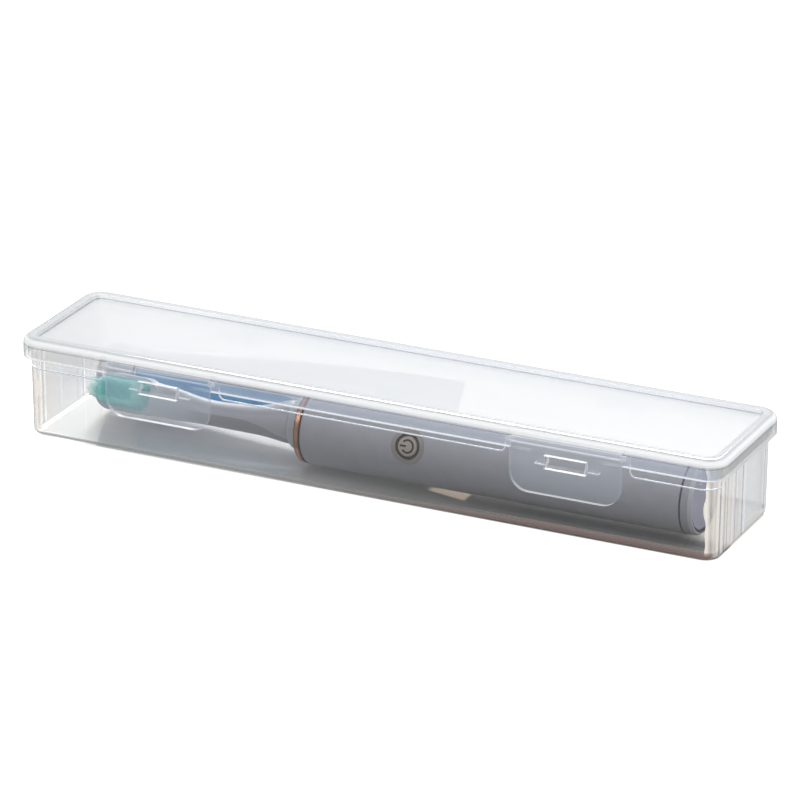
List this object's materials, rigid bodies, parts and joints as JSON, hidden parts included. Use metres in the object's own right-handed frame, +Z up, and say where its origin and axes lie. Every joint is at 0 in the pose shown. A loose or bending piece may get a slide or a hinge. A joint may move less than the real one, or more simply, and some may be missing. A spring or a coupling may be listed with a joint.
{
  "type": "electric toothbrush travel case",
  "caption": "Long clear hinged travel case with snap latch flaps, holding a powered toothbrush with a push button and a travel tube of toothpaste.",
  "frame": {"origin": "middle of the base's underside, on the surface that the case stands on", "axes": "+X along the case from the brush head to the handle's foot, +Y towards the hinge, -Y is the latch side, +Z up"},
  "size_m": [0.26, 0.0563, 0.0364],
  "materials": {
    "clear_pp": "clear polypropylene, slightly milky, glossy outside",
    "frosted_pp": "clear polypropylene with a frosted inner face",
    "handle_white": "satin white handle plastic with a cool cast",
    "rose_metal": "polished rose-gold plating",
    "foot_white": "satin white foot plug",
    "head_white": "glossy white brush head",
    "button_plate": "warm grey satin push button",
    "button_rim": "pale grey satin bezel",
    "groove_dark": "dark brown membrane",
    "seal_rubber": "soft black rubber",
    "steel": "ground steel shaft",
    "motor_can": "plain steel can",
    "cell_wrap": "rechargeable cell in plain green wrap",
    "frame_black": "black moulded carrier",
    "board_green": "circuit board lacquer",
    "copper_wire": "enamelled copper wire",
    "bobbin_nylon": "natural nylon",
    "bristle_teal": "teal nylon filament",
    "bristle_white": "white nylon filament",
    "tube_laminate": "pale lavender-white laminate with a plain blue field",
    "tube_cap_white": "white screw cap"
  },
  "bodies": {
    "case_base": {"base_tray": "clear_pp"},
    "case_lid": {"lid": "clear_pp"},
    "latch_left": {"latch_flap_left": "frosted_pp"},
    "latch_right": {"latch_flap_right": "frosted_pp"},
    "toothbrush": {"handle_shell": "handle_white", "shoulder_cap": "handle_white", "trim_ring": "rose_metal", "base_cap": "foot_white", "base_seal": "seal_rubber", "shaft_seal": "seal_rubber", "motor": "motor_can", "chassis": "frame_black", "circuit_board": "board_green", "power_switch": "frame_black", "battery": "cell_wrap", "coil_bobbin": "bobbin_nylon", "charging_coil": "copper_wire", "button_bezel": "button_rim", "button_seal": "groove_dark"},
    "drive": {"drive_shaft": "steel"},
    "head": {"brush_head": "head_white", "head_insert": "bobbin_nylon", "centre_tufts": "bristle_teal", "outer_tufts": "bristle_white"},
    "button": {"power_button": "button_plate"},
    "paste_tube": {"tube_body": "tube_laminate", "tube_shoulder": "tube_cap_white"},
    "screw_cap": {"tube_cap": "tube_cap_white"}
  },
  "joints": [
    {"name": "lid_hinge", "type": "hinge", "parent": "case_base", "child": "case_lid", "pos_m": [0, 0.0267, 0.0269], "axis": [-1, 0, 0], "range_deg": [0, 175]},
    {"name": "latch_left_flap", "type": "hinge", "parent": "case_lid", "child": "latch_left", "pos_m": [-0.0753, -0.0262, 0.032], "axis": [-1, 0, 0], "range_deg": [0, 90]},
    {"name": "latch_right_flap", "type": "hinge", "parent": "case_lid", "child": "latch_right", "pos_m": [0.0753, -0.0262, 0.032], "axis": [-1, 0, 0], "range_deg": [0, 90]},
    {"name": "toothbrush_slide", "type": "slide", "parent": "case_base", "child": "toothbrush", "axis": [1, 0, 0], "range_m": [0, 0.0085]},
    {"name": "head_vibration", "type": "hinge", "parent": "toothbrush", "child": "drive", "pos_m": [-0.03, -0.0065, 0.0147], "axis": [1, 0, 0], "range_deg": [-4, 4], "stiffness_Nm_per_rad": 0.2},
    {"name": "head_pull", "type": "slide", "parent": "drive", "child": "head", "axis": [-1, 0, 0], "range_m": [0, 0.012]},
    {"name": "button_press", "type": "slide", "parent": "toothbrush", "child": "button", "axis": [0, 0.9455, -0.3256], "range_m": [0, 0.0008], "stiffness_N_per_m": 600},
    {"name": "tube_slide", "type": "slide", "parent": "case_base", "child": "paste_tube", "axis": [-1, 0, 0], "range_m": [0, 0.007]},
    {"name": "cap_turn", "type": "hinge", "parent": "paste_tube", "child": "screw_cap", "pos_m": [-0.108, 0.011, 0.0133], "axis": [-1, 0, 0], "range_deg": [0, 720]}
  ]
}
